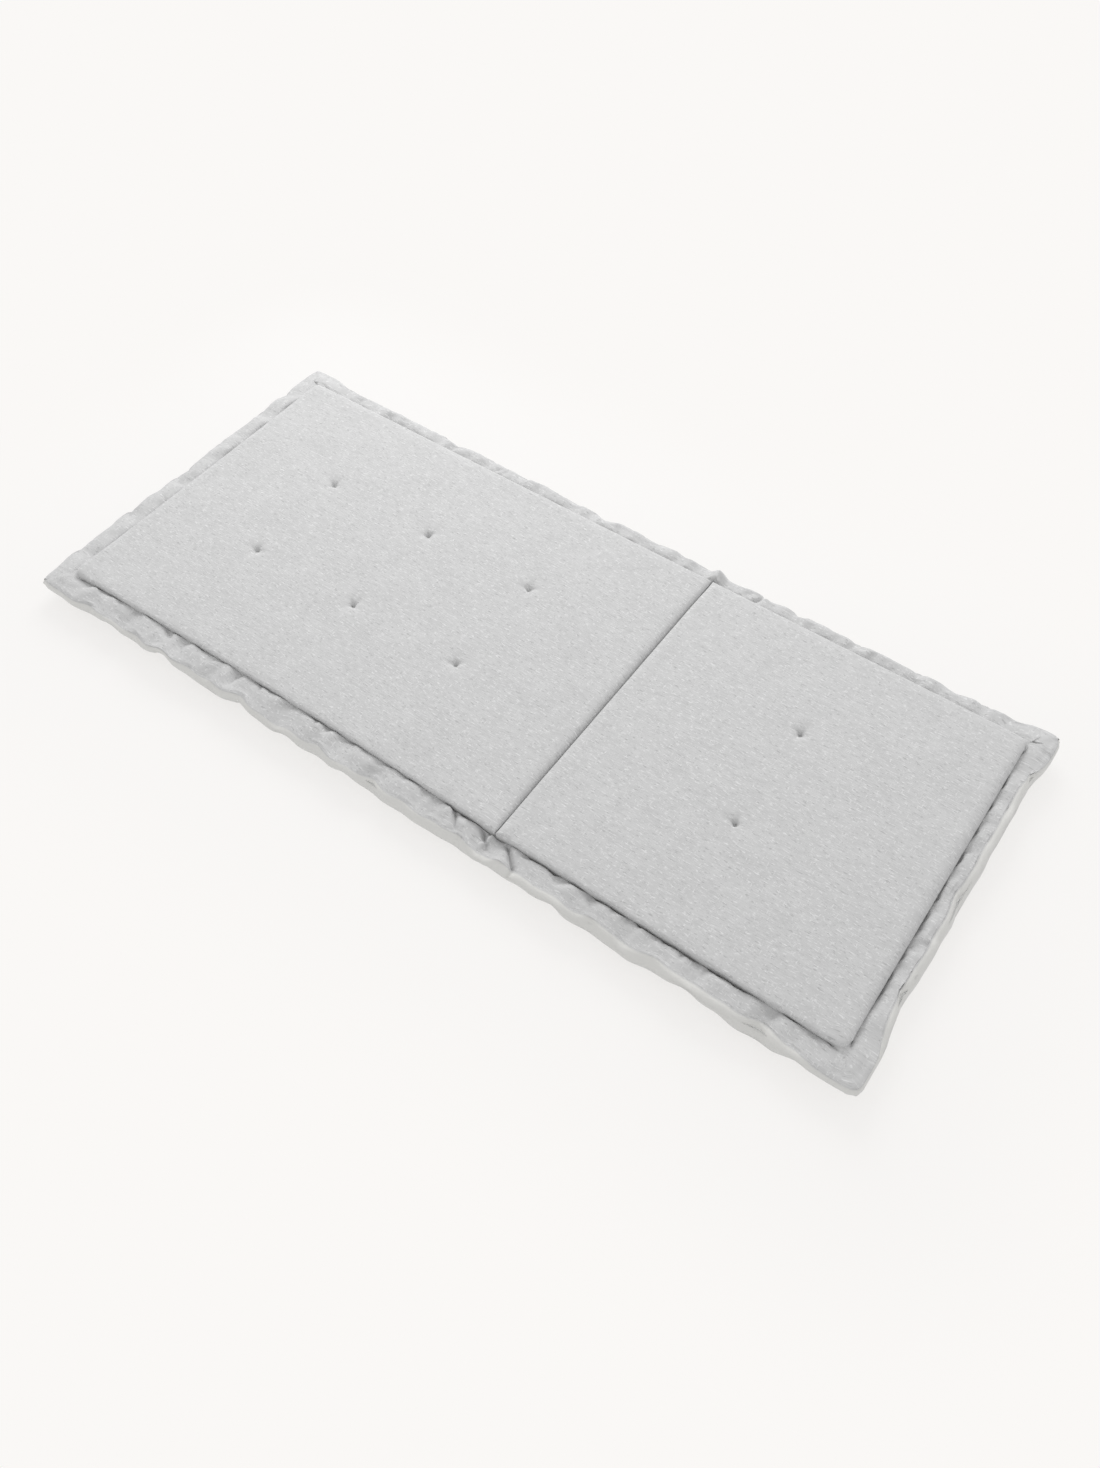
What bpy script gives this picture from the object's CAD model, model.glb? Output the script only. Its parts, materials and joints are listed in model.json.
import json
import math

import bpy
import numpy as np
from mathutils import Matrix, Vector


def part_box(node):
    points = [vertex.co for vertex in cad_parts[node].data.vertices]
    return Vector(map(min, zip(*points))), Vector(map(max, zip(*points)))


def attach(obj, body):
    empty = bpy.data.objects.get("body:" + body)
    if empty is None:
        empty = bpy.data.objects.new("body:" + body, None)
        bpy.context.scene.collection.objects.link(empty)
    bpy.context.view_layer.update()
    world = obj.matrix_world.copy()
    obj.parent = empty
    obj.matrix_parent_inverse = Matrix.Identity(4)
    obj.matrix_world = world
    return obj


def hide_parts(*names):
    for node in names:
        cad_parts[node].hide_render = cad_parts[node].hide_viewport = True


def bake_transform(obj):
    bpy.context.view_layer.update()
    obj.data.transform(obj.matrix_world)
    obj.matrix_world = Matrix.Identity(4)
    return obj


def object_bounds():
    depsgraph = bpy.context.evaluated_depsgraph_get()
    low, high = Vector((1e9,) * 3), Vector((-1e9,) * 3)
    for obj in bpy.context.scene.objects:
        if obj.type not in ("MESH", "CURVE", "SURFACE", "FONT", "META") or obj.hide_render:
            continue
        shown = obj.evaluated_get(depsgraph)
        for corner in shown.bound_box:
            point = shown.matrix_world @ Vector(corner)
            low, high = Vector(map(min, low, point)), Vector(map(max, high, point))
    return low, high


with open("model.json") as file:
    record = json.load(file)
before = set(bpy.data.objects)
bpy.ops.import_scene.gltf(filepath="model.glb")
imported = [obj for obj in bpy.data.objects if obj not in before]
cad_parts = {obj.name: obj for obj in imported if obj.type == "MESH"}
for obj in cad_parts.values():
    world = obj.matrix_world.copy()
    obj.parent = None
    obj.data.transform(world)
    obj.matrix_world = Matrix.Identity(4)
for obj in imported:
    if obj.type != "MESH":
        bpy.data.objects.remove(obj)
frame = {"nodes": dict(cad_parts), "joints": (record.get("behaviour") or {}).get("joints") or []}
cad_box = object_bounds()
scene = bpy.context.scene

# A folding two-panel chair pad: foam and wadding in grey melange covers, sewn through at the
# fold and round each raised field, with a padded flange outside that seam. Metres, +Z up.

# ---- places, from the frame

MM = 0.001
FOLD_JOINT = frame["joints"][0]
FOLD_X, _, PAD_TOP = FOLD_JOINT["pos_m"]
SEAM_Z = PAD_TOP / 2
FIELD_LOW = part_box("back_needle_thread")[0].x
FIELD_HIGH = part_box("seat_needle_thread")[1].x
HALF_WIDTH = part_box("back_needle_thread")[1].y
PANELS = ("back", "seat")


def tuft_nodes(panel):
    return sorted(name for name in frame["nodes"] if name.startswith(panel + "_tuft_"))


def middle(node):
    low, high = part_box(node)
    return (low + high) / 2


TUFTS = {panel: [middle(node) for node in tuft_nodes(panel)] for panel in PANELS}
ALL_TUFTS = [(place.x, place.y) for panel in PANELS for place in TUFTS[panel]]

# ---- the pad's form

CROWN = 2.6 * MM  # the top's rise to the middle of a panel
FOLD_GAP = 0.5 * MM  # half the space between the two fields' walls
SEAM_LEVEL = 2.2 * MM  # half the thickness where the stitches close the pad
UNDERCUT = 2.6 * MM  # how far they draw the wall's foot in
FLANGE_REACH = 30 * MM  # from the field's wall to the hem, on the whole
FLANGE_LIFT = 1.5 * MM  # its middle surface rises outwards
CORNER_RADIUS = 11 * MM  # of the raised field
EASE_LENGTH = 70 * MM  # a side's own form fades in over this from a corner
CREASE_STOP = 3 * MM  # the crease under the field's edge stops this far from a corner
CREASE_END = 14 * MM  # and runs out over this
MELT_LENGTH = 5 * MM  # without the crease, the edge falls to the flange over this
MELTED_FOOT = 0.97  # and its foot lies at this share of the flange's height
WALL_OUT = 0.15 * MM
WALL_MELT = 0.35  # share of the fall's length that lies above the wall's station
WALL_FALL = 0.6  # of the way down from the rounded edge to the foot
FOOT_OUT = 0.3 * MM
WEB_LEVEL = 0.8 * SEAM_LEVEL  # the flat strip between the panels
FOLD_PINCH = 0.42  # share of the flange's fullness lost at the fold
FOLD_PINCH_LENGTH = 17 * MM
LIFT_POWER = 1.4


class Side:
    """A side's form in millimetres. A pair is the value at its low and at its high end.

    edge: radius of the field's edge. above, below: the flange's crest over the seam's plane and
    its underside below it. brow: the share of that height left where the rim begins. reach: from
    the field's wall to the hem. rim: the last part of it, rounded over. slack: how openly the
    flange rises from the seam. seam_turn: where on the rim the hem's seam lies, in degrees from
    its top.
    """

    UNITS = dict.fromkeys(("edge", "above", "below", "reach", "rim"), MM)
    UNITS |= {"brow": 1.0, "slack": 1.0, "seam_turn": math.radians(1)}

    def __init__(self, **values):
        self.ends = {kind: v if isinstance(v, tuple) else (v, v) for kind, v in values.items()}

    def at(self, kind, share):
        low, high = self.ends[kind]
        return self.UNITS[kind] * (low + (high - low) * share)


NEAR_EDGE = {"edge": (3.0, 2.8), "above": (15.5, 14.4), "below": (6.0, 13.0), "brow": (0.66, 0.8)}
NEAR_RIM = {"reach": (28.0, 32.0), "rim": (9.0, 14.0), "slack": (1.0, 1.2), "seam_turn": (44, 10)}
FOLD_SIDE = {"above": 12, "below": 9, "brow": 0.8, "reach": 30, "rim": 8, "slack": 1, "seam_turn": 50}
HEAD_RIM = {"reach": (32.0, 27.0), "rim": 8, "slack": (1.5, 1.0), "seam_turn": 62}
SIDES = {
    "near": Side(**NEAR_EDGE, **NEAR_RIM),
    "far": Side(edge=5, above=13, below=7, brow=1.0, reach=23, rim=7, slack=2.0, seam_turn=60),
    "head": Side(edge=8, above=13, below=7, brow=0.8, **HEAD_RIM),
    "foot": Side(edge=9, above=13.5, below=10, brow=0.95, reach=25, rim=12, slack=1.6, seam_turn=10),
    "back_fold": Side(edge=11, **FOLD_SIDE),
    "seat_fold": Side(edge=4, **FOLD_SIDE),
}
CORNER = Side(edge=5, above=14, below=8, brow=0.78, reach=31, rim=9, slack=1.2, seam_turn=46)

# A line's rank counts stations outwards from the open field (0).
ROUND_TURNS = [math.radians(turn) for turn in (0, 30, 60, 86)]
SWELLS = ((0.9, 0.6), (2.4, 0.9), (5.5, 1.0))  # out in mm, share of the full height
BEFORE_BROW = 0.3  # of the fall from the crest to the brow, half-way between them
RIM_SHARES = (0, 0.34, 0.68, 1)  # of the way from the rim's top, or its underside, to the seam
WALL = len(ROUND_TURNS) + 1
FOOT = WALL + 1
CREST = FOOT + len(SWELLS)  # one more station follows it, half-way to the rim
HEM = CREST + 1 + len(RIM_SHARES)
DRAWN_IN = {WALL: 0.55, FOOT: 1.0, FOOT + 1: 0.7, FOOT + 2: 0.15}


def smooth(t):
    s = np.clip(t, 0.0, 1.0)
    return s * s * (3 - 2 * s)


def ramp(value, start, length):
    """0 up to start, then smoothly to 1 over length."""
    return smooth((value - start) / length)


def mix(a, b, t):
    return a + (b - a) * t


def station(rank, sheet, form, crease):
    """(out from the field's wall, level from the middle surface) of a station."""
    radius, reach = form["edge"], form["reach"]
    full = form["above"] if sheet > 0 else form["below"]
    if rank <= len(ROUND_TURNS):
        turn = ROUND_TURNS[rank - 1]
        return -radius * (1 - math.sin(turn)), SEAM_Z - radius * (1 - math.cos(turn))
    foot = mix(MELTED_FOOT * full, SEAM_LEVEL, crease)
    slope = MELT_LENGTH * (1 - crease)
    if rank == WALL:
        return WALL_OUT + WALL_MELT * slope, mix(SEAM_Z - radius, foot, WALL_FALL)
    if rank == FOOT:
        return FOOT_OUT + slope, foot
    if rank <= CREST:
        out, share = SWELLS[rank - FOOT - 1]
        return out * MM * form["slack"] + slope, mix(foot, full, share)
    if rank == CREST + 1:
        crest_out = SWELLS[-1][0] * MM * form["slack"] + slope
        level = mix(1, form["brow"], BEFORE_BROW) * full
        return mix(crest_out, reach - form["rim"], 0.5), level
    return rim_station(sheet, form, RIM_SHARES[rank - CREST - 2])


def rim_station(sheet, form, share):
    top, bottom = form["brow"] * form["above"], -form["brow"] * form["below"]
    start = 0.0 if sheet > 0 else math.pi
    turn = mix(start, form["seam_turn"], share)
    level = (top + bottom) / 2 + (top - bottom) / 2 * np.cos(turn)
    return form["reach"] - form["rim"] * (1 - np.sin(turn)), sheet * level


# ---- grid lines


class Line:
    """A line of the pad's grid: where it runs, and its place on a side's profile."""

    def __init__(self, at, side=0, rank=0, name=None, is_web=False):
        self.at, self.side, self.rank, self.name, self.is_web = at, side, rank, name, is_web


TUFT_RINGS = [ring * MM for ring in (-14, -7, -3, 0, 3, 7, 14)]
OPEN_FROM = 13 * MM  # the open field's first line, from the wall


def field_lines(low, high, tufts, pitch):
    """Lines through an open field, close together at its tufts."""
    stops = [low] + sorted(tuft + ring for tuft in tufts for ring in TUFT_RINGS) + [high]
    lines = []
    for start, end in zip(stops, stops[1:]):
        count = max(1, round((end - start) / pitch))
        lines += [Line(mix(start, end, n / count)) for n in range(1, count + 1)]
    return lines[:-1]


def profile_lines(edge, side, name, last=HEM):
    lines = [Line(edge, side, rank, name) for rank in range(1, last + 1)]
    return lines if side > 0 else lines[::-1]


def lines_along(pitch):
    """Lines across the pad, in order along it: head, back field, fold, seat field, foot."""
    columns = {panel: sorted({round(t.x, 5) for t in TUFTS[panel]}) for panel in PANELS}
    back_edge, seat_edge = FOLD_X - FOLD_GAP, FOLD_X + FOLD_GAP
    return (
        profile_lines(FIELD_LOW, -1, "head")
        + field_lines(FIELD_LOW + OPEN_FROM, back_edge - OPEN_FROM, columns["back"], pitch)
        + profile_lines(back_edge, 1, "back_fold", FOOT)
        + [Line(FOLD_X, 1, FOOT, "back_fold", is_web=True)]
        + profile_lines(seat_edge, -1, "seat_fold", FOOT)
        + field_lines(seat_edge + OPEN_FROM, FIELD_HIGH - OPEN_FROM, columns["seat"], pitch)
        + profile_lines(FIELD_HIGH, 1, "foot")
    )


def lines_across(pitch):
    rows = sorted({round(t.y, 5) for t in TUFTS["back"]})
    open_to = HALF_WIDTH - OPEN_FROM
    return (
        profile_lines(-HALF_WIDTH, -1, "near")
        + field_lines(-open_to, open_to, rows, pitch)
        + profile_lines(HALF_WIDTH, 1, "far")
    )


# ---- slow waves, the same each run


def waves(along, lengths, seed):
    """A smooth wandering curve between about -1 and 1, made of a few sines."""
    draw = np.random.default_rng(seed)
    total = 0 * along
    for length in lengths:
        total = total + np.sin(2 * math.pi * along / length + draw.uniform(0, 2 * math.pi))
    return total / math.sqrt(len(lengths))


HEM_WAVES = (210 * MM, 118 * MM, 71 * MM, 47 * MM)
SCALLOPS = (98 * MM, 61 * MM, 40 * MM)
BUMPS = (66 * MM, 41 * MM, 27 * MM)
SIDE_SEED = {"near": 11, "far": 23, "head": 37, "foot": 41, "back_fold": 53, "seat_fold": 59}
HEM_WANDER_OUT = {"near": 1.5 * MM, "far": 1.0 * MM, "head": 0.6 * MM, "foot": 0.5 * MM}
HEM_WANDER_UP = 1.2 * MM
HEM_SKEW = 0.3  # the waves run this much aslant
HEM_SEEDS = (5, 6)
BUMP_SHARE = 0.07  # of the flange's height


def side_form(line, crossing, low, high):
    """A side's form along one line, fading to the shared form at the pad's corners."""
    share = (crossing - low) / (high - low)
    to_corner = np.minimum(crossing - low, high - crossing)
    own = smooth(to_corner / EASE_LENGTH)
    side = SIDES[line.name]
    form = {kind: mix(CORNER.at(kind, share), side.at(kind, share), own) for kind in Side.UNITS}
    seed = SIDE_SEED[line.name]
    form["reach"] = form["reach"] + HEM_WANDER_OUT.get(line.name, 0) * waves(crossing, SCALLOPS, seed)
    bumps = 1 + BUMP_SHARE * waves(crossing, BUMPS, seed + 1)
    if line.name in ("near", "far"):
        bumps = bumps * (1 - FOLD_PINCH * np.exp(-(((crossing - FOLD_X) / FOLD_PINCH_LENGTH) ** 2)))
    form["above"], form["below"] = form["above"] * bumps, form["below"] * bumps
    return form


def side_shape(line, sheet, crossing, low, high):
    """(out, level) along one profile line."""
    if line.is_web:
        return 0, WEB_LEVEL
    to_corner = np.minimum(crossing - low, high - crossing)
    crease = 1 if "fold" in line.name else ramp(to_corner, CREASE_STOP, CREASE_END)
    return station(line.rank, sheet, side_form(line, crossing, low, high), crease)


def drawn_in(line, crossing_rank):
    """How far the stitches pull this station in, beside the open field only."""
    if line.is_web:
        return 0
    return UNDERCUT * DRAWN_IN.get(line.rank, 0) * np.clip(1 - crossing_rank / FOOT, 0, 1)


def ranks(lines):
    return np.array([line.rank for line in lines])


def spread(lines, crossing_at, crossing_ranks, low, high, sheet):
    """(shift, out, level) of every point on the lines of one direction."""
    shape = (len(lines), len(crossing_at))
    shift, out, level = np.zeros(shape), np.full(shape, -1.0), np.zeros(shape)
    for n, line in enumerate(lines):
        if line.rank:
            out[n], level[n] = side_shape(line, sheet, crossing_at, low, high)
            shift[n] = line.side * (out[n] - drawn_in(line, crossing_ranks))
    return shift, out, level


def pad_grid(sheet, pitch):
    """Points of one cover, top (sheet 1) or bottom (sheet -1), as an array of lines by rows."""
    columns, rows = lines_along(pitch), lines_across(pitch)
    at_x, at_y = (np.array([line.at for line in lines]) for lines in (columns, rows))
    shift_x, out_x, level_x = spread(columns, at_y, ranks(rows), -HALF_WIDTH, HALF_WIDTH, sheet)
    by_row = spread(rows, at_x, ranks(columns), FIELD_LOW, FIELD_HIGH, sheet)
    shift_y, out_y, level_y = (values.T for values in by_row)
    x, y = at_x[:, None] + shift_x, at_y[None, :] + shift_y
    rank_x, rank_y = np.meshgrid(ranks(columns), ranks(rows), indexing="ij")
    level = np.where(rank_x > rank_y, level_x, level_y)
    level = np.where(rank_x == rank_y, (level_x + level_y) / 2, level)
    level = np.where(rank_x + rank_y == 0, SEAM_Z, level)
    share = np.clip(np.maximum(out_x, out_y) / FLANGE_REACH, 0, 1)
    x, y = round_corners(x, y, share, rank_x * rank_y > 0)
    rise = FLANGE_LIFT * share**LIFT_POWER + hem_wander(x, y, share)
    z = SEAM_Z + rise + sheet * level
    return np.stack([x, y, z], axis=-1), columns, rows


ROUND, BLUNT = 2.0, 9.0  # powers of the field's corners, and of the hem's


def round_corners(x, y, share, in_corner):
    """Rounds the field's corners in plan; the flange outside them stays bluntly pointed."""
    centre_x = np.where(x > FOLD_X, FIELD_HIGH - CORNER_RADIUS, FIELD_LOW + CORNER_RADIUS)
    centre_y = np.sign(y) * (HALF_WIDTH - CORNER_RADIUS)
    dx = (x - centre_x) * np.where(x > FOLD_X, 1, -1)
    dy = (y - centre_y) * np.sign(y)
    near = in_corner & (dx > 0) & (dy > 0)
    a, b = np.where(near, dx, 1), np.where(near, dy, 1)
    power = mix(ROUND, BLUNT, share**2)
    scale = np.maximum(a, b) / (a**power + b**power) ** (1 / power)
    x = np.where(near, centre_x + (x - centre_x) * scale, x)
    y = np.where(near, centre_y + (y - centre_y) * scale, y)
    return x, y


def hem_wander(x, y, share):
    """The slow rise and fall of the flange, along the sides and along the ends."""
    on_sides = waves(x + HEM_SKEW * y, HEM_WAVES, HEM_SEEDS[0])
    on_ends = waves(y + HEM_SKEW * x, HEM_WAVES, HEM_SEEDS[1])
    return HEM_WANDER_UP * share * np.where(np.abs(y) > HALF_WIDTH, on_sides, on_ends)


# ---- splines and closed meshes


def spline_matrix(knots, at):
    """Weights that carry values at the knots to smooth values at other places."""
    basis = np.eye(len(knots))
    gaps = np.diff(knots)
    slopes = np.diff(basis, axis=0) / gaps[:, None]
    tangents = np.empty_like(basis)
    tangents[0], tangents[-1] = slopes[0], slopes[-1]
    before, after = gaps[:-1, None], gaps[1:, None]
    tangents[1:-1] = (after * slopes[:-1] + before * slopes[1:]) / (before + after)
    k = np.clip(np.searchsorted(knots, at, "right") - 1, 0, len(knots) - 2)
    gap = gaps[k][:, None]
    t = (at - knots[k])[:, None] / gap
    start = (1 + 2 * t) * (1 - t) ** 2 * basis[k] + t * (1 - t) ** 2 * gap * tangents[k]
    end = t**2 * (3 - 2 * t) * basis[k + 1] + t**2 * (t - 1) * gap * tangents[k + 1]
    return start + end


def divided(knots, lines, pitch):
    """The knots with more between them: two steps at least where the profile turns."""
    fine = [knots[:1]]
    for start, end, low, high in zip(knots, knots[1:], lines, lines[1:]):
        least = 2 if min(low.rank, high.rank) >= WALL else 1
        count = max(least, round((end - start) / pitch(low, high)))
        fine.append(np.linspace(start, end, count + 1)[1:])
    return np.concatenate(fine)


def unit(vectors):
    return vectors / np.maximum(np.linalg.norm(vectors, axis=-1, keepdims=True), 1e-12)


LEAST_STEP = 0.2 * MM


def lengths_of(points):
    """Distance run so far along a row of points."""
    steps = np.linalg.norm(np.diff(points, axis=0), axis=-1)
    return np.concatenate([[0.0], np.cumsum(np.maximum(steps, LEAST_STEP))])


def quads_of(indices, up):
    a, b = indices[:-1, :-1], indices[1:, :-1]
    c, d = indices[1:, 1:], indices[:-1, 1:]
    return np.stack([a, b, c, d] if up else [a, d, c, b], axis=-1).reshape(-1, 4)


def boundary_of(shape):
    inside = np.zeros(shape, bool)
    inside[1:-1, 1:-1] = True
    return ~inside


def welded_faces(shape):
    """Faces of a top and a bottom grid that share their boundary points."""
    count = shape[0] * shape[1]
    top = np.arange(count).reshape(shape)
    edge = boundary_of(shape)
    bottom = np.where(edge, top, 0)
    bottom[~edge] = count + np.arange((~edge).sum())
    return np.concatenate([quads_of(top, True), quads_of(bottom, False)]).tolist()


def welded_points(top, bottom):
    edge = boundary_of(top.shape[:2])
    return np.concatenate([top.reshape(-1, top.shape[-1]), bottom[~edge]])


def unwelded(values, shape):
    """The inverse of welded_points."""
    count = shape[0] * shape[1]
    top = values[:count].reshape(*shape, -1)
    bottom = top.copy()
    bottom[~boundary_of(shape)] = values[count:]
    return top, bottom


def placed(name, data):
    thing = bpy.data.objects.new(name, data)
    scene.collection.objects.link(thing)
    return thing


def mesh_object(name, points, faces):
    mesh = bpy.data.meshes.new(name)
    mesh.from_pydata(points.tolist(), [], faces)
    mesh.update()
    return placed(name, mesh)


def points_of(mesh):
    flat = np.empty(len(mesh.vertices) * 3, np.float32)
    mesh.vertices.foreach_get("co", flat)
    return flat.reshape(-1, 3).astype(float)


# ---- cloth simulation

SIM_FRAMES = 18
SIM_CAP = 5 * MM  # no point moves further than this
FLANGE_EASE = -0.016  # the flange's cloth is this much longer than its seam
HOLD = {"top field": 0.97, "bottom field": 0.98, "edge": 0.95, "flange": 0.12, "corner": 0.93}
CLOTH = dict(quality=6, mass=0.2, tension_stiffness=12, compression_stiffness=8, shear_stiffness=4)
CLOTH |= dict(bending_stiffness=0.4, air_damping=2, use_pressure=True, uniform_pressure_force=3.0)
CLOTH |= dict(vertex_group_mass="hold", pin_stiffness=1.0)
CLOTH |= dict(vertex_group_shrink="hold", shrink_min=FLANGE_EASE, shrink_max=0.0)


def hold_weights(sheet, columns, rows):
    """How firmly each point is held: the stitches and tufts fully, the flange hardly at all."""
    rank = np.maximum.outer(ranks(columns), ranks(rows))
    weights = np.full(rank.shape, HOLD["top field"] if sheet > 0 else HOLD["bottom field"])
    weights[(rank > 0) & (rank < FOOT)] = HOLD["edge"]
    weights[rank > FOOT] = HOLD["flange"]
    weights[np.minimum.outer(ranks(columns), ranks(rows)) > 0] = HOLD["corner"]
    weights[rank == FOOT] = 1.0
    for x, y in ALL_TUFTS:
        i = int(np.argmin([abs(line.at - x) for line in columns]))
        j = int(np.argmin([abs(line.at - y) for line in rows]))
        weights[i, j] = 1.0
    return weights


def simulate(top, bottom, columns, rows):
    """Blows the sewn cover up like cloth held at its seams, and gives both sheets' new points."""
    shape = top.shape[:2]
    start = welded_points(top, bottom)
    cloth = mesh_object("cloth_run", start, welded_faces(shape))
    hold_top, hold_bottom = (hold_weights(sheet, columns, rows) for sheet in (1, -1))
    weights = welded_points(hold_top[..., None], hold_bottom[..., None])[:, 0]
    group = cloth.vertex_groups.new(name="hold")
    for value in np.unique(weights):
        group.add(np.nonzero(weights == value)[0].tolist(), float(value), "REPLACE")
    modifier = cloth.modifiers.new("Cloth", "CLOTH")
    settings = modifier.settings
    for name, value in CLOTH.items():
        setattr(settings, name, value)
    settings.effector_weights.gravity = 0
    modifier.collision_settings.use_collision = False
    modifier.point_cache.frame_start = 1
    modifier.point_cache.frame_end = SIM_FRAMES
    for step in range(1, SIM_FRAMES + 1):
        scene.frame_set(step)
    graph = bpy.context.evaluated_depsgraph_get()
    end = points_of(cloth.evaluated_get(graph).to_mesh())
    bpy.data.objects.remove(cloth)
    scene.frame_set(1)
    moved = end - start
    length = np.linalg.norm(moved, axis=1, keepdims=True)
    moved *= np.minimum(1.0, SIM_CAP / np.maximum(length, 1e-9))
    return unwelded(start + moved, shape)


# ---- detail sewn into the form

DIMPLE_DEPTH = 11 * MM
DIMPLE_THROAT = 2.7 * MM
THROAT_POWER = 1.25
DISH_DEPTH = 2.6 * MM
DISH_RADIUS = 11 * MM
DISH_POWER = 1.7
STAR_SHARE = 0.35  # of the dish, in the four small creases that run out of a tuft
STAR_LENGTH = 5 * MM
CREASE_PITCH = 21 * MM  # between the small creases that run out over the flange
CREASE_DEPTH = 4.2 * MM
CREASE_WIDTH = 3.2 * MM
CREASE_LENGTH = 19 * MM
CREASES_FROM = 45 * MM  # they are faint this near a corner
CREASE_STRENGTHS, FEW_DEEP = (0.15, 1.0), 2.4
CREASE_SLANTS, CREASE_LENGTHS, CREASE_WIDTHS = (-0.5, 1.1), (0.6, 1.6), (0.7, 1.9)
CREASE_STARTS, CREASE_STEPS = (0.3, 1.0), (0.35, 1.7)
GROWTH = 4 * MM  # bumps grow to their full height this far out from the seam
CREASE_SEED = 300
SOFT_BUMP = 1.1 * MM
SOFT_WAVES = (130 * MM, 77 * MM)
SOFT_SEEDS = (71, 83)
SOFT_SKEW = 0.4
SOFT_TO, SOFT_FADE = 12 * MM, 16 * MM


def dimples(x, y):
    """How deep the tufts draw a sheet in."""
    depth = 0 * x
    for n, (tuft_x, tuft_y) in enumerate(ALL_TUFTS):
        dx, dy = x - tuft_x, y - tuft_y
        distance = np.hypot(dx, dy)
        turn = np.arctan2(dy, dx)
        star = 1 + STAR_SHARE * np.cos(4 * turn + n) * smooth(distance / STAR_LENGTH)
        depth = depth + DIMPLE_DEPTH * np.exp(-((distance / DIMPLE_THROAT) ** THROAT_POWER))
        depth = depth + DISH_DEPTH * star * np.exp(-((distance / DISH_RADIUS) ** DISH_POWER))
    return depth


def crown(x, y):
    """The share of a panel's full rise."""
    end = np.where(x < FOLD_X, FIELD_LOW, FIELD_HIGH)
    along = np.clip(np.abs((2 * x - end - FOLD_X) / (end - FOLD_X)), 0, 1)
    across = np.clip(np.abs(y) / HALF_WIDTH, 0, 1)
    return (1 - along**4) * (1 - across**4)


MITRE = 9 * MM  # detail fades this near a corner's mitre


def side_places(x, y):
    """(which side, distance along it, distance out from the field's wall, 0 on a mitre).

    The sides are 0 near, 1 far, 2 head and 3 foot.
    """
    past_end = np.maximum(FIELD_LOW - x, x - FIELD_HIGH)
    past_side = np.abs(y) - HALF_WIDTH
    on_side = past_side >= past_end
    along = np.where(on_side, x, y)
    which = np.where(on_side, np.where(y < 0, 0, 1), np.where(x < 0, 2, 3))
    clear = smooth(np.abs(past_side - past_end) / MITRE)
    return which, along, np.maximum(past_side, past_end), clear


def crease(along, out, at, slant, depth, width, length):
    """A valley that starts at the seam, runs out over the flange and slants along it."""
    across = (along - at - slant * out) / width
    fade = ramp(out, -1 * MM, 3 * MM) * (1 - smooth(2 * out / length - 1))
    return depth * np.exp(-(across**2)) * fade


def scattered_creases(which, along, out):
    """The creases that gathering leaves along all four sides."""
    total = 0 * along
    for side in range(4):
        low, high = (FIELD_LOW, FIELD_HIGH) if side < 2 else (-HALF_WIDTH, HALF_WIDTH)
        draw = np.random.default_rng(CREASE_SEED + side)
        here = np.nonzero((which == side) & (out > -2 * MM))
        a, o = along[here], out[here]
        at = low + draw.uniform(*CREASE_STARTS) * CREASE_PITCH
        while at < high - CREASE_PITCH / 2:
            strength = draw.uniform(*CREASE_STRENGTHS) ** FEW_DEEP
            depth = CREASE_DEPTH * (strength * smooth(min(at - low, high - at) / CREASES_FROM))
            slant = draw.uniform(*CREASE_SLANTS)
            length = CREASE_LENGTH * draw.uniform(*CREASE_LENGTHS)
            width = CREASE_WIDTH * draw.uniform(*CREASE_WIDTHS)
            total[here] += crease(a, o, at, slant, depth, width, length)
            at += CREASE_PITCH * draw.uniform(*CREASE_STEPS)
    return total


# Creases drawn from the fold's near end: place from the fold, slant, depth, width, length
FOLD_CREASES = (
    (-54, 0.8, 7.0, 2.6, 22),
    (-15, 0.9, 8.0, 2.6, 22),
    (+16, 1.0, 9.0, 2.8, 32),
    (-33, 0.6, 1.8, 3.6, 18),
)
PLEAT = (-1, -0.25, 7.0, 3.2, 24)  # the pleat that stands up between them
TAB_RISE = 15 * MM  # the fold's far end stands up as a small tab
TAB_LENGTH = 10 * MM
TAB_REACH = 13 * MM  # it stays full this far out
TAB_FADE = 22 * MM


def fold_ends(which, along, out):
    """How far the flange drops (or rises) beside the two ends of the fold."""
    drop = 0 * along
    for sign, folds in ((1, FOLD_CREASES), (-1, (PLEAT,))):
        for at, slant, depth, width, length in folds:
            valley = crease(along, out, FOLD_X + at * MM, slant, depth * MM, width * MM, length * MM)
            drop = drop + sign * valley * (which == 0)
    tab = np.exp(-(((along - FOLD_X) / TAB_LENGTH) ** 2)) * smooth(out / GROWTH)
    return drop - TAB_RISE * tab * (which == 1) * (1 - ramp(out, TAB_REACH, TAB_FADE))


def puckers(x, y, sheet):
    """The flange's soft bumps and its creases."""
    which, along, out, clear = side_places(x, y)
    soft = waves(along + SOFT_SKEW * out, BUMPS, SOFT_SEEDS[0])
    soft = soft * waves(along, SOFT_WAVES, SOFT_SEEDS[1])
    fade = smooth(out / GROWTH) * (1 - ramp(out, SOFT_TO, SOFT_FADE))
    rise = clear * (SOFT_BUMP * soft * fade - scattered_creases(which, along, out))
    if sheet > 0:
        rise = rise - fold_ends(which, along, out)
    return rise


SLACK = 0.35 * MM
SLACK_ALONG = (190 * MM, 83 * MM)
SLACK_ACROSS = (160 * MM, 71 * MM)
SLACK_SEED = 91
SLACK_SKEWS = (0.35, -0.2)


def slack(x, y):
    """Slow unevenness of cloth lying over foam."""
    along = waves(x + SLACK_SKEWS[0] * y, SLACK_ALONG, SLACK_SEED)
    return SLACK * along * waves(y + SLACK_SKEWS[1] * x, SLACK_ACROSS, SLACK_SEED + 1)


LEAST_PADDING = 0.4  # of the thickness stays between the covers under a crease


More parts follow.
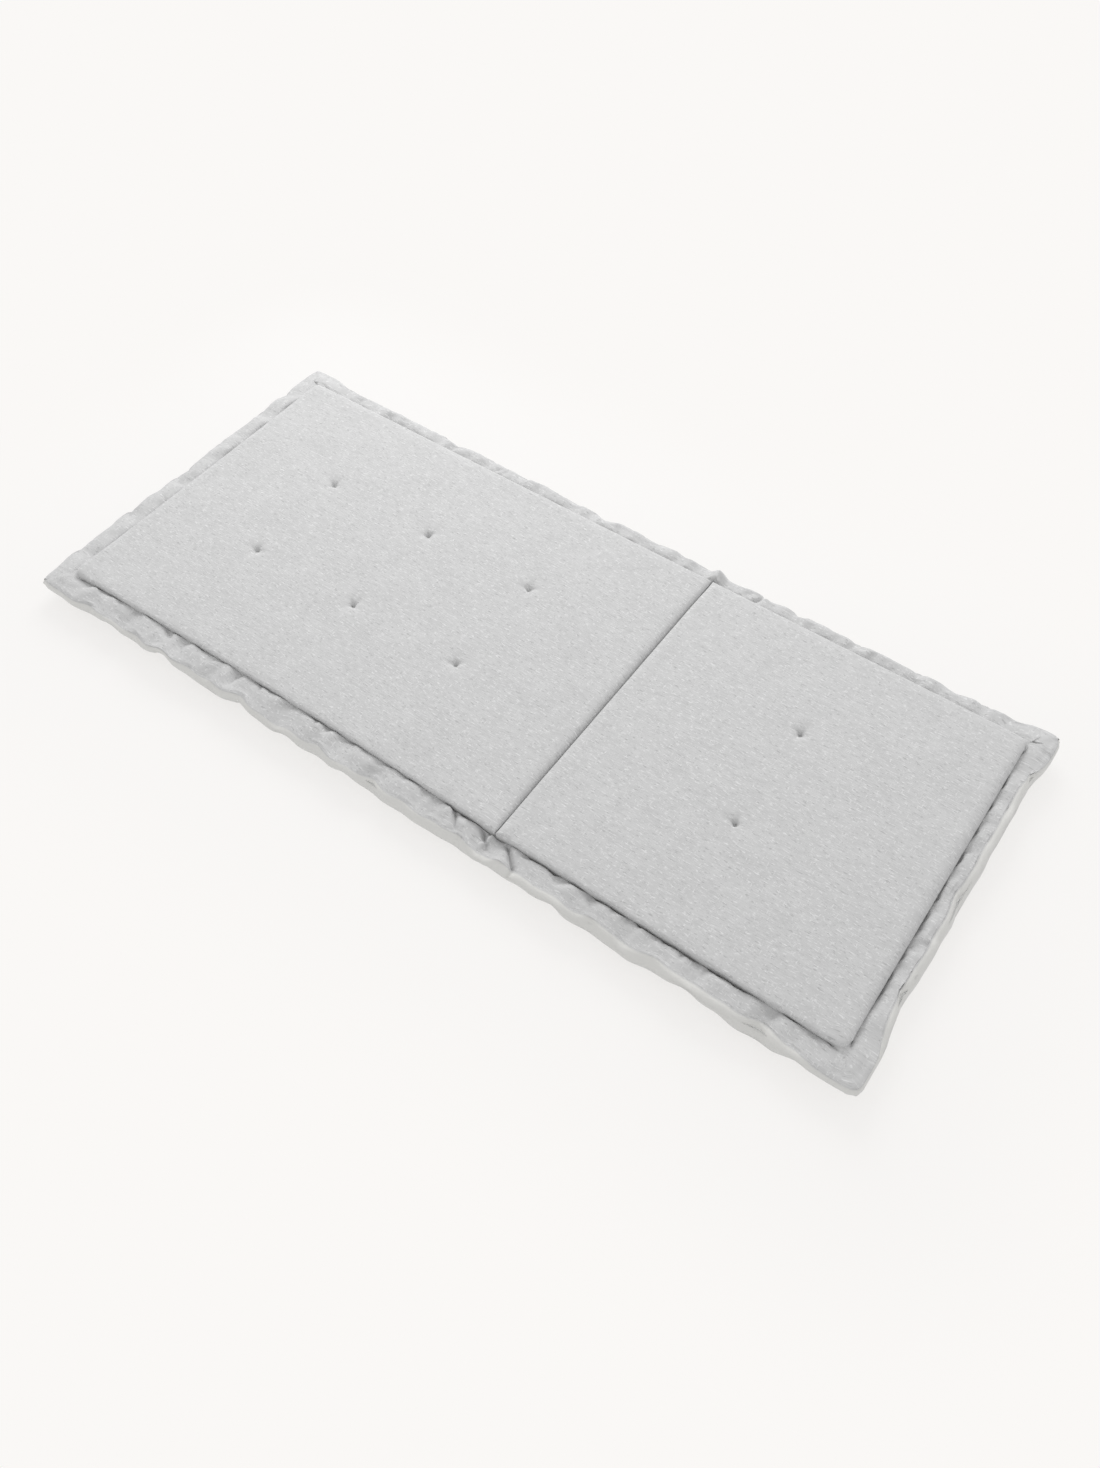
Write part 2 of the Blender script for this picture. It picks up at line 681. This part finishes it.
def kept_apart(top, bottom, thickness):
    """Parts the covers wherever a crease would bring them too close together."""
    short = np.maximum(LEAST_PADDING * thickness - (top[..., 2] - bottom[..., 2]), 0)
    top[..., 2] += short / 2
    bottom[..., 2] -= short / 2


HEM_RIDGE = 0.7 * MM


def ridged(top, bottom):
    """Raises the hem's seam a little above the cloth on both its sides."""
    for edge, inner in ((0, 1), (-1, -2)):
        for order in ((0, 1, 2), (1, 0, 2)):
            upper, lower = top.transpose(order), bottom.transpose(order)
            away = 2 * upper[edge] - upper[inner] - lower[inner]
            upper[edge] = lower[edge] = upper[edge] + HEM_RIDGE * unit(away)


RESTING = 0.2 * MM  # the underside lies on the floor at this level
SIDE_PULL = 5 * MM  # the long panel's near edge is pulled in by this at its middle
SIDE_PULL_FROM = 0.5  # of the half width, where the pull begins
SIDE_PULL_TO = 4 * MM  # out from the wall, where it begins to fade
SIDE_PULL_FADE = 22 * MM


def pulled_in(points):
    """Bows the long panel's near edge inwards, where its stitches draw the cloth together."""
    x, y = points[..., 0], points[..., 1]
    along = np.clip((x - FIELD_LOW) / (FOLD_X - FIELD_LOW), 0, 1)
    inner = ramp(-y / HALF_WIDTH, SIDE_PULL_FROM, 1 - SIDE_PULL_FROM)
    outer = 1 - ramp(-y - HALF_WIDTH, SIDE_PULL_TO, SIDE_PULL_FADE)
    bowed = points.copy()
    bowed[..., 1] = y + SIDE_PULL * 4 * along * (1 - along) * inner * outer
    return bowed


FIELD_FADE = 8 * MM  # a field's own detail fades over this
FIELD_REACH = 10 * MM  # and starts to, this far inside its wall


def detailed(points, sheet):
    """A sheet with its tufts, crown, slack, puckers and bowed edge."""
    x, y, z = np.moveaxis(points, -1, 0)
    out = np.maximum.reduce([np.abs(y) - HALF_WIDTH, FIELD_LOW - x, x - FIELD_HIGH])
    on_field = 1 - ramp(out, -FIELD_REACH, FIELD_FADE)
    rise = -dimples(x, y) * on_field + slack(x, y) * on_field
    if sheet > 0:
        rise = rise + CROWN * crown(x, y) * on_field
    rise = rise + puckers(x, y, sheet)
    lifted = points.copy()
    lifted[..., 2] = np.maximum(z + sheet * rise, RESTING)
    return pulled_in(lifted)


# ---- materials


class Nodes:
    """A node tree whose nodes are added by short calls."""

    def __init__(self, tree):
        self.tree = tree

    def node(self, kind, sockets={}, **values):
        """A new node with its settings. A socket is given a number, a colour or a link."""
        made = self.tree.nodes.new(kind)
        for key, value in values.items():
            setattr(made, key, value)
        for socket, value in sockets.items():
            if isinstance(value, bpy.types.NodeSocket):
                self.link(value, made.inputs[socket])
            else:
                made.inputs[socket].default_value = value
        return made

    def link(self, source, target):
        self.tree.links.new(source, target)

    def math(self, operation, *values):
        return self.node("ShaderNodeMath", dict(enumerate(values)), operation=operation).outputs[0]

    def vector(self, operation, *values, output="Vector"):
        made = self.node("ShaderNodeVectorMath", dict(enumerate(values)), operation=operation)
        return made.outputs[output]

    def shown(self):
        """1 for rays that show the backdrop: from the camera, off gloss and through glass."""
        rays = self.node("ShaderNodeLightPath").outputs
        seen = self.math("MAXIMUM", rays["Is Camera Ray"], rays["Is Glossy Ray"])
        return self.math("MAXIMUM", seen, rays["Is Transmission Ray"])

    def mixed_shader(self, share, a, b, output):
        choose = self.node("ShaderNodeMixShader", {0: share, 1: a.outputs[0], 2: b.outputs[0]})
        self.link(choose.outputs[0], self.tree.nodes[output].inputs["Surface"])


class Shader(Nodes):
    """A material, with numbers for the sockets of its surface."""

    def __init__(self, name, **values):
        self.material = bpy.data.materials.new(name)
        self.material.use_nodes = True
        super().__init__(self.material.node_tree)
        self.surface = self.tree.nodes["Principled BSDF"]
        for socket, value in values.items():
            self.surface.inputs[socket.replace("_", " ")].default_value = value

    def place(self):
        return self.node("ShaderNodeAttribute", attribute_name="cloth").outputs["Vector"]

    def noise(self, vector, scale, detail=2.0, rough=0.5):
        place = self.vector("MULTIPLY", vector, scale)
        sockets = {"Vector": place, "Scale": 1.0, "Detail": detail, "Roughness": rough}
        return self.node("ShaderNodeTexNoise", sockets).outputs["Fac"]

    def ranged(self, value, low, high, to_low, to_high):
        sockets = dict(enumerate((value, low, high, to_low, to_high)))
        return self.node("ShaderNodeMapRange", sockets).outputs[0]

    def mixed(self, share, a, b):
        a, b = ((*c, 1.0) if isinstance(c, tuple) else c for c in (a, b))
        return self.node("ShaderNodeMix", {0: share, 6: a, 7: b}, data_type="RGBA").outputs[2]

    def paint(self, colour, rough):
        self.link(colour, self.surface.inputs["Base Color"])
        self.link(rough, self.surface.inputs["Roughness"])

    def bump(self, height, distance, strength):
        sockets = {"Strength": strength, "Distance": distance, "Height": height}
        made = self.node("ShaderNodeBump", sockets)
        self.link(made.outputs["Normal"], self.surface.inputs["Normal"])


TOP_GREY = (0.575, 0.575, 0.575)
TOP_LIGHT = (0.72, 0.72, 0.72)
TOP_DARK = (0.42, 0.42, 0.42)
UNDER_GREY = (0.7, 0.695, 0.675)
# Clouds and flecks: shade, (scale, detail and roughness of a noise), its range, share at most
MELANGE = (
    (TOP_LIGHT, ((17, 30, 5), 3.0), 0.3, 0.7, 0.2),
    (TOP_DARK, ((62, 150, 5), 3.0, 0.6), 0.4, 0.75, 0.34),
    (TOP_LIGHT, ((140, 560, 5), 2.0, 0.6), 0.58, 0.66, 0.95),
    (TOP_DARK, ((130, 520, 9), 2.0, 0.6), 0.6, 0.68, 0.85),
    (TOP_LIGHT, ((560, 120, 7), 2.0, 0.6), 0.62, 0.69, 0.8),
)


def cover_cloth():
    """Grey melange on top; the underside's cloth is paler, warmer and plainer."""
    cloth = Shader(
        "grey_melange", Roughness=0.9, Sheen_Weight=0.25, Sheen_Roughness=0.5, Specular_IOR_Level=0.2
    )
    place = cloth.place()
    split = cloth.node("ShaderNodeSeparateXYZ", {0: place})
    top_side = cloth.ranged(split.outputs["Z"], 0.55, 0.9, 0.0, 1.0)
    grey = cloth.mixed(top_side, UNDER_GREY, TOP_GREY)
    for shade, noise, low, high, share in MELANGE:
        fleck = cloth.ranged(cloth.noise(place, *noise), low, high, 0.0, share)
        grey = cloth.mixed(cloth.math("MULTIPLY", fleck, top_side), grey, shade)
    yarn = cloth.noise(place, (700, 1700, 9), 1.0)
    slub = cloth.noise(place, (150, 520, 5), 2.0)
    relief = cloth.math("ADD", cloth.math("MULTIPLY", yarn, 0.5), slub)
    cloth.bump(relief, 0.45 * MM, 0.8)
    cloth.paint(grey, cloth.ranged(slub, 0.3, 0.7, 0.84, 0.97))
    return cloth.material


def fibre_wadding():
    """White polyester fibres, matted, lying mostly along the sheet."""
    fibre = Shader("polyester_wadding", Roughness=0.95, Sheen_Weight=0.3, Specular_IOR_Level=0.2)
    place = fibre.place()
    mat = fibre.noise(place, (90, 90, 300), 3.0, 0.6)
    along = fibre.noise(place, (260, 1500, 900), 2.0, 0.6)
    across = fibre.noise(place, (1500, 260, 900), 2.0, 0.6)
    strands = fibre.math("MAXIMUM", along, across)
    shade = fibre.ranged(mat, 0.3, 0.7, 0.0, 0.5)
    fluffy = fibre.mixed(shade, (0.88, 0.88, 0.86), (0.78, 0.78, 0.76))
    lit = fibre.ranged(strands, 0.5, 0.75, 0.0, 0.8)
    fibre.bump(fibre.math("ADD", strands, mat), 0.6 * MM, 0.8)
    fibre.paint(fibre.mixed(lit, fluffy, (0.95, 0.95, 0.94)), fibre.ranged(mat, 0.3, 0.7, 0.88, 1.0))
    return fibre.material


def open_foam():
    """Cream polyurethane foam with open cells of about a millimetre."""
    foam = Shader("cream_foam", Roughness=0.9, Specular_IOR_Level=0.25)
    place = foam.place()
    scaled = foam.vector("MULTIPLY", place, (900, 900, 900))
    cells = foam.node("ShaderNodeTexVoronoi", {"Vector": scaled, "Scale": 1.0})
    pits = foam.ranged(cells.outputs["Distance"], 0.15, 0.6, 0.0, 0.7)
    cloud = foam.ranged(foam.noise(place, (40, 40, 60), 2.0), 0.3, 0.7, 0.0, 0.4)
    cream = foam.mixed(cloud, (0.80, 0.74, 0.58), (0.74, 0.67, 0.50))
    foam.bump(cells.outputs["Distance"], 0.5 * MM, 0.7)
    foam.paint(foam.mixed(pits, (0.60, 0.54, 0.40), cream), foam.ranged(cloud, 0.0, 0.4, 0.84, 0.96))
    return foam.material


def sewing_thread():
    """Grey polyester thread, two plies twisted."""
    thread = Shader("grey_thread", Roughness=0.6)
    place = thread.place()
    scaled = thread.vector("MULTIPLY", place, (520, 900, 1))
    sockets = {"Vector": scaled, "Scale": 1.0, "Distortion": 0.6}
    plies = thread.node("ShaderNodeTexWave", sockets, wave_type="BANDS", bands_direction="DIAGONAL")
    twist = plies.outputs["Fac"]
    fuzz = thread.ranged(thread.noise(place, (2500, 2500, 1), 2.0), 0.3, 0.7, 0.0, 0.5)
    ply = thread.mixed(twist, (0.44, 0.44, 0.44), (0.62, 0.62, 0.62))
    thread.bump(twist, 0.1 * MM, 0.6)
    thread.paint(thread.mixed(fuzz, ply, (0.70, 0.70, 0.70)), thread.ranged(twist, 0.0, 1.0, 0.7, 0.5))
    return thread.material


# ---- camera, light and floor


CAMERA_PLACE = Vector((0.5467, -0.7678, 1.1572))
CAMERA_AZIMUTH, CAMERA_ELEVATION, CAMERA_ROLL = (math.radians(a) for a in (-33.90, 53.60, 1.57))
CAMERA_LENS, CAMERA_SENSOR = 30.80, 36
PAPER = (0.956, 0.939, 0.922)
WORLD_STRENGTH = 0.78
SHADOW_SHARE = 0.22  # how much of the floor's own light and shade shows beside the pad
SHADOW_REACH = 0.28  # it fades to plain paper over this
FLOOR_LIT = (0.93, 0.93, 0.93)
FLOOR_SHOWN = (0.85, 0.85, 0.85)
FLOOR_SIZE = 6.0
FLOOR_LEVEL = -0.2 * MM
KEY_PLACE, KEY_SIZE, KEY_POWER = Vector((-1.0, 1.6, 1.5)), 1.6, 31


def make_camera():
    flat = math.cos(CAMERA_ELEVATION)
    ahead = flat * math.sin(CAMERA_AZIMUTH), flat * math.cos(CAMERA_AZIMUTH)
    ahead = Vector((*ahead, -math.sin(CAMERA_ELEVATION)))
    data = bpy.data.cameras.new("camera")
    data.lens = CAMERA_LENS
    data.sensor_width = CAMERA_SENSOR
    camera = placed("camera", data)
    turn = ahead.to_track_quat("-Z", "Y").to_matrix() @ Matrix.Rotation(CAMERA_ROLL, 3, "Z")
    camera.matrix_world = Matrix.Translation(CAMERA_PLACE) @ turn.to_4x4()
    scene.camera = camera


def make_world():
    scene.world = bpy.data.worlds.new("studio")
    scene.world.use_nodes = True
    world = Nodes(scene.world.node_tree)
    lit = world.tree.nodes["Background"]
    lit.inputs["Color"].default_value = (1, 1, 1, 1)
    lit.inputs["Strength"].default_value = WORLD_STRENGTH
    paper = world.node("ShaderNodeBackground", {"Color": (*PAPER, 1)})
    world.mixed_shader(world.shown(), lit, paper, "World Output")


def beside_pad(paper):
    """1 at the pad's edge, fading to 0 on the floor away from it."""
    place = paper.vector("ABSOLUTE", paper.node("ShaderNodeNewGeometry").outputs["Position"])
    past = paper.vector("SUBTRACT", place, (cad_box[1][0], cad_box[1][1], 0))
    distance = paper.vector("LENGTH", paper.vector("MAXIMUM", past), output="Value")
    fade = paper.ranged(distance, 0.0, SHADOW_REACH, 1.0, 0.0)
    fade.node.interpolation_type = "SMOOTHSTEP"
    return fade


def make_floor():
    corners = FLOOR_SIZE * np.array([(-1, -1, 0), (1, -1, 0), (1, 1, 0), (-1, 1, 0)])
    floor = mesh_object("floor", corners, [[0, 1, 2, 3]])
    floor.location.z = FLOOR_LEVEL
    paper = Shader("paper", Roughness=1.0, Specular_IOR_Level=0.0)
    seen = paper.shown()
    paper.link(paper.mixed(seen, FLOOR_LIT, FLOOR_SHOWN), paper.surface.inputs["Base Color"])
    glow = paper.node("ShaderNodeEmission", {"Color": (*PAPER, 1)})
    shaded = paper.math("MULTIPLY", beside_pad(paper), SHADOW_SHARE)
    plain = paper.math("MULTIPLY", seen, paper.math("SUBTRACT", 1.0, shaded))
    paper.mixed_shader(plain, paper.surface, glow, "Material Output")
    floor.data.materials.append(paper.material)


def make_light():
    data = bpy.data.lights.new("key", "AREA")
    data.shape = "DISK"
    data.size = KEY_SIZE
    data.energy = KEY_POWER
    light = placed("key", data)
    light.location = KEY_PLACE
    light.rotation_euler = (-KEY_PLACE).to_track_quat("-Z", "Y").to_euler()


# ---- pieces

SIM_PITCH = 9 * MM
BEND_REACH = 42 * MM  # the fold's bend spreads this far into each panel


def bend_at_fold(piece):
    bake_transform(piece)


FINE_ALONG = 3.75 * MM
FINE_AT_FOLD = 2.0 * MM
FINE_ACROSS = 9 * MM
FINE_ON_FLANGE = 3.0 * MM
FINE_AT_TUFT = 1.3 * MM
FOLD_DETAIL = 62 * MM  # the fold's creases lie within this
TUFT_DETAIL = 7.5 * MM


def beside_tuft(low, high, axis):
    middle_line = (low.at + high.at) / 2
    return min(abs(middle_line - tuft[axis]) for tuft in ALL_TUFTS) < TUFT_DETAIL


def pitch_along(low, high):
    if beside_tuft(low, high, 0):
        return FINE_AT_TUFT
    return FINE_AT_FOLD if abs(low.at - FOLD_X) < FOLD_DETAIL else FINE_ALONG


def pitch_across(low, high):
    if beside_tuft(low, high, 1):
        return FINE_AT_TUFT
    return FINE_ON_FLANGE if min(low.rank, high.rank) >= FOOT else FINE_ACROSS


def knots_in(fine, knots):
    return [int(np.argmin(np.abs(fine - knot))) for knot in knots]


def dress(piece, places, material, slot, *nodes):
    """Gives a piece its material, its points' places in it, its slot and its CAD nodes."""
    attribute = piece.data.attributes.new("cloth", "FLOAT_VECTOR", "POINT")
    attribute.data.foreach_set("vector", np.ascontiguousarray(places, np.float32).ravel())
    piece.data.polygons.foreach_set("use_smooth", [True] * len(piece.data.polygons))
    piece.data.materials.append(material)
    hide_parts(*nodes)


class Skin:
    """The cover's two fine sheets, and where the net's lines run in them."""

    def __init__(self, top, bottom, at_columns, at_rows, lines):
        self.sheets = {1: top, -1: bottom}
        self.columns, self.rows = at_columns, at_rows
        places = zip(lines, at_columns + at_rows)
        self.at = {(line.is_web or line.name, line.rank): place for line, place in places}


def make_cover(top, bottom, columns, rows):
    """The two covers, sewn into one closed skin."""
    along = lengths_of(top[:, top.shape[1] // 2])
    across = lengths_of(top[top.shape[0] // 4, :])
    fine_along = divided(along, columns, pitch_along)
    fine_across = divided(across, rows, pitch_across)
    weights = spline_matrix(along, fine_along), spline_matrix(across, fine_across)
    carried = "ai,bj,ijc->abc"
    sheets = [np.einsum(carried, *weights, sheet, optimize=True) for sheet in (top, bottom)]
    fine = [detailed(sheet, side) for sheet, side in zip(sheets, (1, -1))]
    kept_apart(*fine, sheets[0][..., 2] - sheets[1][..., 2])
    ridged(*fine)
    piece = mesh_object("pad_cover", welded_points(*fine), welded_faces(fine[0].shape[:2]))
    u, v = np.meshgrid(fine_along, fine_across, indexing="ij")
    places = welded_points(*(np.stack([u, v, 0 * u + level], axis=-1) for level in (1.0, 0.0)))
    covers = [f"{panel}_{face}_cover" for panel in PANELS for face in ("top", "bottom")]
    dress(piece, places, cover_cloth(), "cover_fabric", *covers, "fold_web")
    bend_at_fold(piece)
    at_knots = knots_in(fine_along, along), knots_in(fine_across, across)
    return Skin(*fine, *at_knots, columns + rows)


# ---- wadding and foam

COVER_DEPTH = 1.6 * MM  # from the cover's face to the wadding under it
FOLD_DEPTH = 1.2 * MM  # more than that in the field beside the fold
COVER_CLEAR = 1.0 * MM  # at least this under its deepest creases
FOLD_CLEAR = 4.5 * MM  # and this much more where the pad bends
CORE_FACE = 14 * MM  # the foam's flat faces, above and below the seam's plane
CORE_INSETS = (9.4, 8.2, 7.2, 6.8, 6.6)  # mm in from the field's wall, for each rank to WALL
CORE_LEVELS = (14, 13.6, 12.5, 10.8, 3.0)  # mm from the seam's plane there
CORE_DENT = 10 * MM  # at a tuft
CORE_DENT_RADIUS = 6 * MM
CORE_DENT_POWER = 1.3
LAYER_GAP = 0.3 * MM
WADDING_LAST = HEM - 2  # the wadding's last rank, just inside the hem
FOLD_LAST = 2  # and at the fold, short of the walls there


def panel_lines(columns, rows, panel, last, fold_last):
    """A panel's own part of the net, out to a rank, and to another at the fold."""
    limits = {panel + "_fold": fold_last}
    own = [n for n, line in enumerate(columns) if (line.at < FOLD_X) == (panel == "back")]
    own = [n for n in own if columns[n].rank <= limits.get(columns[n].name, last)]
    return np.ix_(own, [n for n, line in enumerate(rows) if line.rank <= last])


def normals_of(points):
    return unit(np.cross(np.gradient(points, axis=0), np.gradient(points, axis=1)))


def core_dents(x, y):
    depth = 0 * x
    for tuft_x, tuft_y in ALL_TUFTS:
        distance = np.hypot(x - tuft_x, y - tuft_y)
        depth = depth + CORE_DENT * np.exp(-((distance / CORE_DENT_RADIUS) ** CORE_DENT_POWER))
    return depth


def core_face(net, columns, rows, sheet, spare):
    """The foam's upper or lower face and walls, or a face that clears them by spare."""
    x, y = net[..., 0].copy(), net[..., 1].copy()
    level = CORE_FACE - core_dents(x, y)
    for lines, places, levels in ((columns, x, level), (rows, y.T, level.T)):
        for n, line in enumerate(lines):
            if 0 < line.rank <= WALL:
                places[n] = line.at - line.side * (CORE_INSETS[line.rank - 1] * MM - spare)
                levels[n] = np.minimum(levels[n], CORE_LEVELS[line.rank - 1] * MM)
    return pulled_in(np.stack([x, y, SEAM_Z + sheet * (level + spare)], axis=-1))


def layer_object(name, top, bottom, cloth, fill, slot, node):
    """A closed soft layer between two sheets that share their edges."""
    edge = boundary_of(top.shape[:2])
    top[edge] = bottom[edge] = (top[edge] + bottom[edge]) / 2
    points = welded_points(top, bottom)
    layer = mesh_object(name, points, welded_faces(top.shape[:2]))
    dress(layer, points, cloth, slot, node)
    bend_at_fold(layer)


def at_fold(x):
    """1 at the fold, fading into both panels over the length that bends."""
    return np.exp(-(((x - FOLD_X) / BEND_REACH) ** 2))


def least_beside(values, places):
    """The least value between each place's neighbours on both sides."""
    stops = [0, *places, len(values) - 1]
    return np.array([values[low : high + 1].min(axis=0) for low, high in zip(stops, stops[2:])])


def under_cover(skin, sheet):
    """For each point of the net, a level that clears the cover's deepest crease beside it."""
    height = sheet * skin.sheets[sheet][..., 2]
    lowest = least_beside(least_beside(height, skin.columns).T, skin.rows).T
    along = skin.sheets[sheet][np.ix_(skin.columns, skin.rows)][..., 0]
    return sheet * (lowest - COVER_CLEAR - FOLD_CLEAR * at_fold(along))


def make_wadding(panel, nets, skin, columns, rows, cloth):
    """The two sheets of wadding under a panel's covers. They end inside the hem."""
    detail = {sheet: detailed(nets[sheet], sheet) for sheet in nets}
    limit = {sheet: under_cover(skin, sheet) for sheet in nets}
    between = (detail[1] + detail[-1]) / 2
    between[..., 2] = (limit[1] + limit[-1]) / 2
    rank = np.maximum.outer(ranks(columns), ranks(rows))
    in_field = (rank <= FOOT)[..., None]
    own = panel_lines(columns, rows, panel, WADDING_LAST, FOLD_LAST)
    for sheet, side in ((1, "top"), (-1, "bottom")):
        depth = COVER_DEPTH + FOLD_DEPTH * at_fold(detail[sheet][..., :1]) * in_field
        outer = detail[sheet] - sheet * depth * normals_of(detail[sheet])
        outer[..., 2] = sheet * np.minimum(sheet * outer[..., 2], sheet * limit[sheet])
        inner = between + np.array([0, 0, sheet * LAYER_GAP])
        core = core_face(nets[sheet], columns, rows, sheet, LAYER_GAP)
        inner = np.where(rank[..., None] < FOOT, core, inner)
        room = np.maximum(sheet * (outer[..., 2] - inner[..., 2]), LAYER_GAP)
        outer[..., 2] = inner[..., 2] + sheet * room
        sheets = (outer[own], inner[own]) if sheet > 0 else (inner[own], outer[own])
        name = f"{panel}_{side}_fibre_wadding"
        layer_object(name, *sheets, cloth, 0.5, "wadding", f"{panel}_{side}_wadding")


def make_foam(panel, nets, columns, rows, cloth):
    own = panel_lines(columns, rows, panel, WALL, WALL)
    faces = [core_face(nets[sheet], columns, rows, sheet, 0.0)[own] for sheet in (1, -1)]
    layer_object(f"{panel}_foam_block", *faces, cloth, 1.0, "foam", f"{panel}_foam_core")


# ---- sewing thread

THREAD_RADIUS = 0.36 * MM
THREAD_SIDES = 5
STITCH = 3.5 * MM
STITCH_STEPS = 4
STITCH_RISE = 0.3 * MM  # a stitch stands this far out of the cloth at its middle
SEAM_DEPTH = 3.0 * MM  # the thread lies no further than this from the seam's plane
KNOT_SIZE = 0.45 * MM
KNOT_STEPS = 36
STRAND_STEPS = 14
STRAND_GAP = 0.4 * MM


def tube(path, radius, sides):
    """Points and faces of a thread along a path, closed at both ends."""
    ahead = unit(np.gradient(path, axis=0))
    across = np.empty_like(path)
    turned = unit(np.cross(ahead[0], [0.3, 0.5, 1.0]))
    for n, way in enumerate(ahead):
        turned = unit(turned - way * (turned @ way))
        across[n] = turned
    up = np.cross(ahead, across)
    angles = np.linspace(0, 2 * math.pi, sides, endpoint=False)
    round_it = across[:, None] * np.cos(angles)[:, None] + up[:, None] * np.sin(angles)[:, None]
    points = (path[:, None] + radius * round_it).reshape(-1, 3)
    rings = np.arange(len(path) * sides).reshape(len(path), sides)
    here, there = rings[:-1], rings[1:]
    after = np.roll(here, -1, axis=1), np.roll(there, -1, axis=1)
    faces = np.stack([here, after[0], after[1], there], axis=-1).reshape(-1, 4).tolist()
    return points, faces + [rings[0][::-1].tolist(), rings[-1].tolist()]


def thread_object(name, path, thread, node):
    piece = mesh_object(name, *tube(path, THREAD_RADIUS, THREAD_SIDES))
    run = np.repeat(lengths_of(path), THREAD_SIDES)
    turn = np.tile(np.arange(THREAD_SIDES) * THREAD_RADIUS, len(path))
    dress(piece, np.stack([run, turn, 0 * run], axis=-1), thread, "sewing_thread", node)
    return piece


def stitched(line, sheet):
    """A row of stitches over a line of the cover, dipping into it between them."""
    run = lengths_of(line)
    count = max(2, round(run[-1] / STITCH)) * STITCH_STEPS
    at = np.linspace(0, run[-1], count + 1)
    path = np.stack([np.interp(at, run, line[:, axis]) for axis in range(3)], axis=-1)
    level = np.minimum(sheet * (path[:, 2] - SEAM_Z), SEAM_DEPTH)
    wave = np.abs(np.sin(math.pi * np.arange(count + 1) / STITCH_STEPS))
    path[:, 2] = SEAM_Z + sheet * (level + STITCH_RISE * (2 * wave - 1))
    return path


def seam_line(skin, panel, sheet):
    """The seam round a field's three free sides, from one end of the fold to the other."""
    end = "head" if panel == "back" else "foot"
    near, far, free, fold = (skin.at[side, FOOT] for side in ("near", "far", end, panel + "_fold"))
    step = 1 if free > fold else -1
    cover = skin.sheets[sheet]
    sides = cover[fold:free:step, near], cover[free, near:far], cover[free:fold:-step, far]
    return np.concatenate(sides)


def fold_line(skin, sheet):
    """The seam through the flat strip between the panels."""
    return skin.sheets[sheet][skin.at[True, FOOT], skin.at["near", CREST] : skin.at["far", CREST] + 1]


def knot(centre, sheet):
    """A small overhand knot as a path that starts and ends at its centre line."""
    turn = np.linspace(0, 2 * math.pi, KNOT_STEPS, endpoint=False)
    reach = KNOT_SIZE * (2 + np.cos(3 * turn))
    rise = sheet * KNOT_SIZE * (1.2 + np.sin(3 * turn))
    return centre + np.stack([reach * np.cos(2 * turn), reach * np.sin(2 * turn), rise], axis=-1)


def strand(start, end, side):
    share = np.linspace(0, 1, STRAND_STEPS)[1:-1, None]
    turn = 2 * math.pi * share
    twist = np.concatenate([np.cos(turn), np.sin(turn), 0 * turn], axis=1)
    return start + (end - start) * share + side * STRAND_GAP * twist


def tuft_path(skin, place):
    """A doubled thread through the pad, with a knot in the dimple on each side."""
    top, bottom = skin.sheets[1], skin.sheets[-1]
    away = np.hypot(top[..., 0] - place.x, top[..., 1] - place.y)
    at = np.unravel_index(np.argmin(away), away.shape)
    upper = np.array([place.x, place.y, top[at][2]])
    lower = np.array([place.x, place.y, bottom[at][2]])
    rise, fall = strand(lower, upper, 1), strand(upper, lower, -1)
    return np.concatenate([knot(lower, -1), rise, knot(upper, 1), fall])


def make_threads(skin):
    thread = sewing_thread()
    for side, sheet in (("needle", 1), ("bobbin", -1)):
        for panel in PANELS:
            path = stitched(seam_line(skin, panel, sheet), sheet)
            name = f"{panel}_{side}_stitches"
            bend_at_fold(thread_object(name, path, thread, f"{panel}_{side}_thread"))
        path = stitched(fold_line(skin, sheet), sheet)
        bend_at_fold(thread_object(f"fold_{side}_stitches", path, thread, f"fold_{side}_thread"))
    for panel in PANELS:
        for node in tuft_nodes(panel):
            path = tuft_path(skin, middle(node))
            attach(thread_object(f"{node}_thread", path, thread, node), f"{panel}_panel")


make_camera()
make_world()
make_light()
make_floor()

top_net, columns, rows = pad_grid(1, SIM_PITCH)
bottom_net, _, _ = pad_grid(-1, SIM_PITCH)
top_net, bottom_net = simulate(top_net, bottom_net, columns, rows)
nets = {1: top_net, -1: bottom_net}
skin = make_cover(top_net, bottom_net, columns, rows)

white_wadding, cream_foam = fibre_wadding(), open_foam()
for panel in PANELS:
    make_wadding(panel, nets, skin, columns, rows, white_wadding)
    make_foam(panel, nets, columns, rows, cream_foam)
make_threads(skin)

scene.view_settings.view_transform = "Standard"
